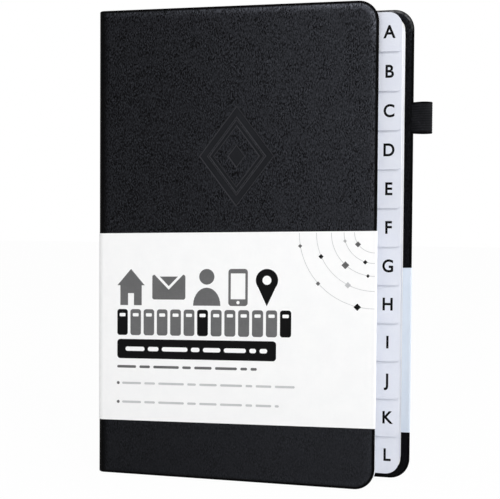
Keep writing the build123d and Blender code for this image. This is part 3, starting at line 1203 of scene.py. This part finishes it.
def printPin(left, foot, high):
    pin = pictures["pin"]
    radius = pin["radius"]
    middle = left + radius
    up = foot + high - radius
    drop = printDisc("black", middle, up, radius)
    pick(drop, "VERT", lambda place: place.z < up - pin["waist"] * radius)
    bpy.ops.mesh.merge(type="CENTER")
    objectMode()
    lowest = min(drop.data.vertices, key=lambda vertex: vertex.co.z)
    lowest.co = (middle, 0, foot)
    printDisc("white", middle, up, pin["eye"])
    return 2 * radius


def printPictures():
    left = bandPrint["left"]
    for printPicture in (printHouse, printEnvelope, printPerson, printPhone, printPin):
        left += printPicture(left, pictures["foot"], pictures["height"]) + pictures["gap"]


def printTabs():
    foot = bandPrint["tabFoot"]
    width, height = bandPrint["tabSize"]
    labelWidth, labelHeight = bandPrint["tabLabel"]
    labelFoot = foot + height - bandPrint["tabLabelDrop"]
    for number in range(bandPrint["tabCount"]):
        left = bandPrint["left"] + number * bandPrint["tabStep"]
        labelLeft = left + (width - labelWidth) / 2
        ink = "black" if number in bandPrint["blackTabs"] else "grey"
        printBlock(ink, left, foot, width, height, bandPrint["tabRadius"])
        printBlock("white", labelLeft, labelFoot, labelWidth, labelHeight, bandPrint["tabLabelRadius"])


def printLines():
    left = bandPrint["left"]
    foot, margin = bandPrint["barFoot"], bandPrint["barMargin"]
    width, height = bandPrint["barSize"]
    dashFoot, dashHeight = sharesOf(height, bandPrint["barDash"])
    printBlock("black", left, foot, width, height, bandPrint["barRadius"])
    printDashes("white", left + margin, foot + dashFoot, width - 2 * margin, dashHeight)
    for line in bandPrint["lines"]:
        foot, height = line["foot"], line["height"]
        indent = 0
        if line["bullet"]:
            radius = bandPrint["bulletRadius"] * height
            printDisc("grey", left + height / 2, foot + height / 2, radius, corners=bandPrint["dotCorners"])
            indent = bandPrint["bulletRoom"] * height
        printDashes(line["ink"], left + indent, foot, line["length"] - indent, height)


def printRings():
    # quarter rings round the band's upper fore-edge corner, with small diamonds threaded on them
    across = sides["front"]["foreX"] - case["hingeX"] - band["foldRound"]
    up = band["height"] - bandPrint["ringDrop"]
    for radius in bandPrint["ringRadii"]:
        ring = printDisc(
            "pale", across, up, radius, corners=bandPrint["ringCorners"], line=bandPrint["ringLine"])
        trimPrint(ring, (across, 0, up), (1, 0, 0))
        trimPrint(ring, (across, 0, up), (0, 0, 1))
    for number, degrees, size, ink in bandPrint["beads"]:
        radius = bandPrint["ringRadii"][number]
        angle = math.radians(degrees)
        printDisc(ink, across + radius * math.cos(angle), up + radius * math.sin(angle), size * mm, corners=4)


def layInk(ink, shapes, proud):
    # joins one ink's shapes, gives them their thickness and lays them on the sloping band
    deselectAll()
    for shape in shapes:
        shape.select_set(True)
    bpy.context.view_layer.objects.active = shapes[0]
    bpy.ops.object.join()
    layer = nameActive("bandPrint_" + ink)
    pickAll()
    extrude(-proud)
    objectMode()
    face = case["frontY"] - band["thickness"]
    for vertex in layer.data.vertices:
        across, depth, up = vertex.co
        along = case["coverStart"] + across
        vertex.co = (case["hingeX"] + across, face + depth, band["base"] + along * band["slope"] + up)
    facesOut(layer)
    dress(layer, inks[ink])
    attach(layer, "front_cover")


printPictures()
printTabs()
printLines()
printRings()
for ink, shapes in inkShapes.items():
    layInk(ink, shapes, bandPrint["proud"] * (2 if ink == "white" else 1))  # white lies over the others
print("band printed:", sum(len(shapes) for shapes in inkShapes.values()), "shapes")


# Index sections: a few folded leaves each, cut back below their own tab

def makeLeafStack(name, rowsKept):
    head, foreX, cutBackX = leaf["head"], leaf["foreX"], leaf["cutBackX"]
    tabFoot = head - rowsKept * leaf["rowHeight"]
    lastRow = rowsKept == leaf["rows"]
    stack = addPlate(name, leaf["foldX"], foreX, leaf["foot"], head)
    dress(stack, pagePaper, cutPaper)
    cutAt("x", leaf["taperEnd"])
    if not lastRow:
        cutAt("x", cutBackX)
        cutAt("z", tabFoot)
        pick(stack, "FACE", lambda place, normal: place.x > cutBackX and place.z < tabFoot)
        bpy.ops.mesh.delete(type="FACE")
    footRadius = leaf["cornerRadius"] if lastRow else leaf["tabRadius"]
    for level, radius in ((head, leaf["cornerRadius"]), (tabFoot, footRadius)):
        pick(stack, "VERT", lambda place: place.x > foreX - tiny and abs(place.z - level) < tiny)
        roundCorners(radius, leaf["cornerSegments"])
    pickAll()
    extrude(leaf["leafThickness"])
    facesOut(stack)
    paintFaces(stack, 1, lambda place, normal: normal.x > leaf["cutFacing"])
    useModifier(
        stack, "ARRAY", count=leaf["leaves"], use_relative_offset=False, use_constant_offset=True,
        constant_offset_displace=(0, leaf["leafStep"], 0),
    )
    return stack


def settleStack(stack, middleY, ragged):
    # centres the leaves on their section, draws them together at the fold and leaves the fore edge uneven
    inset = [ragged.uniform(0, leaf["raggedEdge"]) for _ in range(leaf["leaves"])]
    for vertex in stack.data.vertices:
        x, y, z = vertex.co
        number = min(int((y + tiny) / leaf["leafStep"]), leaf["leaves"] - 1)
        share = leaf["foldShare"] if x < leaf["foldX"] + tiny else 1
        if x > leaf["cutBackX"] - tiny:
            x -= inset[number]
        vertex.co = (x, middleY + (y - leaf["thickness"] / 2) * share, z)


letterLook = {
    "capHeight": 5.2 * mm,
    "middleX": 56.7 * mm,
    "proud": 0.015 * mm,
    "weight": 0.024,  # thickening, and depth before it is flattened, in font units
    "depth": 0.5,
    "narrow": 0.92,
    "groupShare": 0.52,  # several letters on one tab are set smaller
    "weld": 0.0005 * mm,
}


def addText(letters):
    deselectAll()
    bpy.ops.object.text_add()
    text = bpy.context.active_object
    text.data.body = letters
    return text


def measureCapHeight():
    sample = addText("E")
    bpy.context.view_layer.update()
    height = sample.dimensions.y
    bpy.data.objects.remove(sample)
    return height


def makeLetter(letters, section, faceY, rowMiddle):
    text = addText(letters.upper())
    text.data.align_x = "CENTER"
    text.data.offset = letterLook["weight"]
    text.data.extrude = letterLook["depth"]
    bpy.ops.object.convert(target="MESH")
    letter = nameActive("tabLetter_" + letters)
    height = letterLook["capHeight"] * (letterLook["groupShare"] if len(letters) > 1 else 1)
    scale = height / fontCapHeight
    letter.location = (letterLook["middleX"], faceY - letterLook["proud"] / 2, rowMiddle - height / 2)
    standUp(letter, scale * letterLook["narrow"], scale, letterLook["proud"])
    pickAll()
    bpy.ops.mesh.remove_doubles(threshold=letterLook["weld"])
    bpy.ops.mesh.normals_make_consistent(inside=False)
    objectMode()
    dress(letter, inks["black"])
    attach(letter, section)


fontCapHeight = measureCapHeight()
ragged = random.Random(leaf["raggedSeed"])
for number, letters in enumerate(sectionLetters):
    section = "section_" + letters
    low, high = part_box(section)
    row = number % leaf["rows"]
    stack = makeLeafStack("leaves_" + letters, row + 1)
    settleStack(stack, (low.y + high.y) / 2, ragged)
    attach(stack, section)
    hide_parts(section)
    makeLetter(letters, section, low.y, leaf["head"] - (row + 0.5) * leaf["rowHeight"])
print("index sections made:", len(sectionLetters))


# Ribbed elastic pen loop that comes out of the back cover's fore edge
loopLow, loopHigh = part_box("pen_loop")
loop = {
    "thickness": 0.7 * mm,
    "ribs": 13,
    "rowsPerRib": 6,
    "ribHeight": 0.1 * mm,
    "selvage": (0.9 * mm, 0.45 * mm),  # dark borders, fading in between these distances from the edge
    "steps": 72,
    "tuck": 0.8 * mm,  # how far inside the cover's edge the elastic starts
    "gap": 0.36 * mm,  # half the distance between its two ends
    "smoothAngle": 60,
}
loop["ribPitch"] = (loopHigh.z - loopLow.z) / loop["ribs"]


def makePenLoop():
    outer = (loopHigh.y - loopLow.y) / 2
    middleY = (loopLow.y + loopHigh.y) / 2
    radius = outer - loop["thickness"] / 2
    centreX = loopHigh.x - outer
    startX = sides["back"]["foreX"] - loop["tuck"]
    reach = math.hypot(startX - centreX, loop["gap"])
    touch = math.atan2(loop["gap"], startX - centreX) - math.acos(radius / reach)
    straight = math.sqrt(reach ** 2 - radius ** 2)
    runs = [(straight, 0), (2 * touch * radius, radius), (straight, 0)]
    length = sum(run[0] for run in runs)
    rows = loop["ribs"] * loop["rowsPerRib"]
    width = loopHigh.z - loopLow.z
    deselectAll()
    bpy.ops.mesh.primitive_grid_add(
        x_subdivisions=loop["steps"], y_subdivisions=rows, size=1,
        location=(length / 2, 0, loopLow.z + width / 2))
    strip = nameActive("penLoop")
    standUp(strip, length, width)
    pickAll()
    extrude(loop["thickness"])
    objectMode()
    for vertex in strip.data.vertices:
        wave = (1 - math.cos(fullTurn * (vertex.co.z - loopLow.z) / loop["ribPitch"])) / 2
        face = -1 if vertex.co.y < loop["thickness"] / 2 else 1
        vertex.co.y = face * (loop["thickness"] / 2 - loop["ribHeight"] * (1 - wave))
    wrapAlong(strip, (startX, loop["gap"]), touch - quarterTurn, runs, middleY, 1)
    smoothBelow(strip, loop["smoothAngle"])
    dress(strip, makeElastic())
    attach(strip, "back_cover")
    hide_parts("pen_loop")


makePenLoop()
print("pen loop made")


# Head and tail bands: thread wound round a core, over the ends of the folds
endBand = {"turns": 26, "sides": 12, "waist": 0.86, "smoothAngle": 60}


def makeEndBand(node):
    low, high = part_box(node)
    radius = (high.z - low.z) / 2
    step = (high.y - low.y) / endBand["turns"] / 2
    centre = Vector(((low.x + high.x) / 2, low.y, (low.z + high.z) / 2))
    bead = addDisc("wound_" + node, endBand["sides"], radius * endBand["waist"], centre)
    bead.rotation_euler = (-quarterTurn, 0, 0)
    applyPlace(bead)
    pickAll()
    for turn in range(endBand["turns"] * 2):
        centre.y += step
        size = endBand["waist"] if turn % 2 else 1 / endBand["waist"]
        extrude(step)
        bpy.ops.transform.resize(value=(size, 1, size), center_override=centre)
    facesOut(bead)
    smoothBelow(bead, endBand["smoothAngle"])
    dress(bead, woundThread)
    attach(bead, "spine")
    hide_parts(node)


headLow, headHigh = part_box("head_band")
woundThread = makeWoundThread((headHigh.y - headLow.y) / endBand["turns"])
makeEndBand("head_band")
makeEndBand("tail_band")
print("end bands made")


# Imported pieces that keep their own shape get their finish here
for names, finish in (
    (["front_pastedown", "back_pastedown", "front_flyleaf", "back_flyleaf"], endPaper),
    (["spine_lining"], liningCloth),
):
    for nodeName in names:
        nodes[nodeName].data.materials.clear()
        dress(nodes[nodeName], finish)


# Camera at the photograph's viewing angle
view = {
    "place": (92.9 * mm, -432.6 * mm, 120.3 * mm),
    "yaw": 12.883,
    "pitch": -1.815,
    "roll": 0.375,
    "focalPixels": 978.9,
    "imageWidth": 500,
    "shiftPixels": -8,
    "sensor": 36,
    "nearest": 10 * mm,
}
bpy.ops.object.camera_add(location=view["place"])
camera = bpy.context.active_object
camera.name = "photoCamera"
camera.rotation_euler = (
    Matrix.Rotation(math.radians(view["yaw"]), 3, "Z")
    @ Matrix.Rotation(math.radians(90 + view["pitch"]), 3, "X")
    @ Matrix.Rotation(math.radians(view["roll"]), 3, "Z")
).to_euler()
camera.data.sensor_width = view["sensor"]
camera.data.lens = view["focalPixels"] * view["sensor"] / view["imageWidth"]
camera.data.shift_y = view["shiftPixels"] / view["imageWidth"]
camera.data.clip_start = view["nearest"]
bpy.context.scene.camera = camera


# White floor that keeps a faint shadow, and soft studio light from the upper right
stage = {
    "floorSize": 6,
    "floorColour": (0.93, 0.93, 0.93),
    "floorGlow": 0.97,  # share of plain white that the camera sees in the floor
    "worldLevel": 0.5,
    "lamps": [
        {"name": "keyLamp", "place": (0.36, -0.52, 0.72), "size": 0.36, "power": 3.35},
        {"name": "fillLamp", "place": (-0.25, -1.1, 0.2), "size": 0.8, "power": 2.08},
        {"name": "sideLamp", "place": (0.95, 0.0, 0.25), "size": 0.4, "power": 3.2},
    ],
    "aim": (0, 0, 0.1),
}


def seenDirectly(tree):
    # 1 for rays from the camera and for mirror-like and clear surfaces
    path = addNode(tree, "ShaderNodeLightPath").outputs
    return largest(tree, path["Is Camera Ray"], path["Is Glossy Ray"], path["Is Transmission Ray"])


def makeFloor():
    deselectAll()
    bpy.ops.mesh.primitive_plane_add(size=stage["floorSize"])
    floor = nameActive("studioFloor")
    material, tree, shader = newMaterial("floorWhite", roughness=0.9, specular=0.1)
    shader.inputs["Base Color"].default_value = (*stage["floorColour"], 1)
    glow = addNode(tree, "ShaderNodeEmission")
    mixed = addNode(tree, "ShaderNodeMixShader")
    tree.links.new(times(tree, seenDirectly(tree), stage["floorGlow"]), mixed.inputs[0])
    tree.links.new(shader.outputs[0], mixed.inputs[1])
    tree.links.new(glow.outputs[0], mixed.inputs[2])
    tree.links.new(mixed.outputs[0], tree.nodes["Material Output"].inputs["Surface"])
    dress(floor, material)


def makeWorld():
    world = bpy.data.worlds.new("studioWorld")
    world.use_nodes = True
    tree = world.node_tree
    background = tree.nodes["Background"]
    background.inputs["Color"].default_value = (1, 1, 1, 1)
    strength = rangeNode(tree, seenDirectly(tree), (0, 1), (stage["worldLevel"], 1), smooth=False)
    tree.links.new(strength, background.inputs["Strength"])
    bpy.context.scene.world = world


def makeLamps():
    for lamp in stage["lamps"]:
        bpy.ops.object.light_add(type="AREA", location=lamp["place"])
        light = bpy.context.active_object
        light.name = lamp["name"]
        light.data.shape = "DISK"
        light.data.size = lamp["size"]
        light.data.energy = lamp["power"]
        toward = Vector(stage["aim"]) - Vector(lamp["place"])
        light.rotation_euler = toward.to_track_quat("-Z", "Y").to_euler()


makeFloor()
makeWorld()
makeLamps()
bpy.context.scene.view_settings.view_transform = "Standard"
print("stage lit")
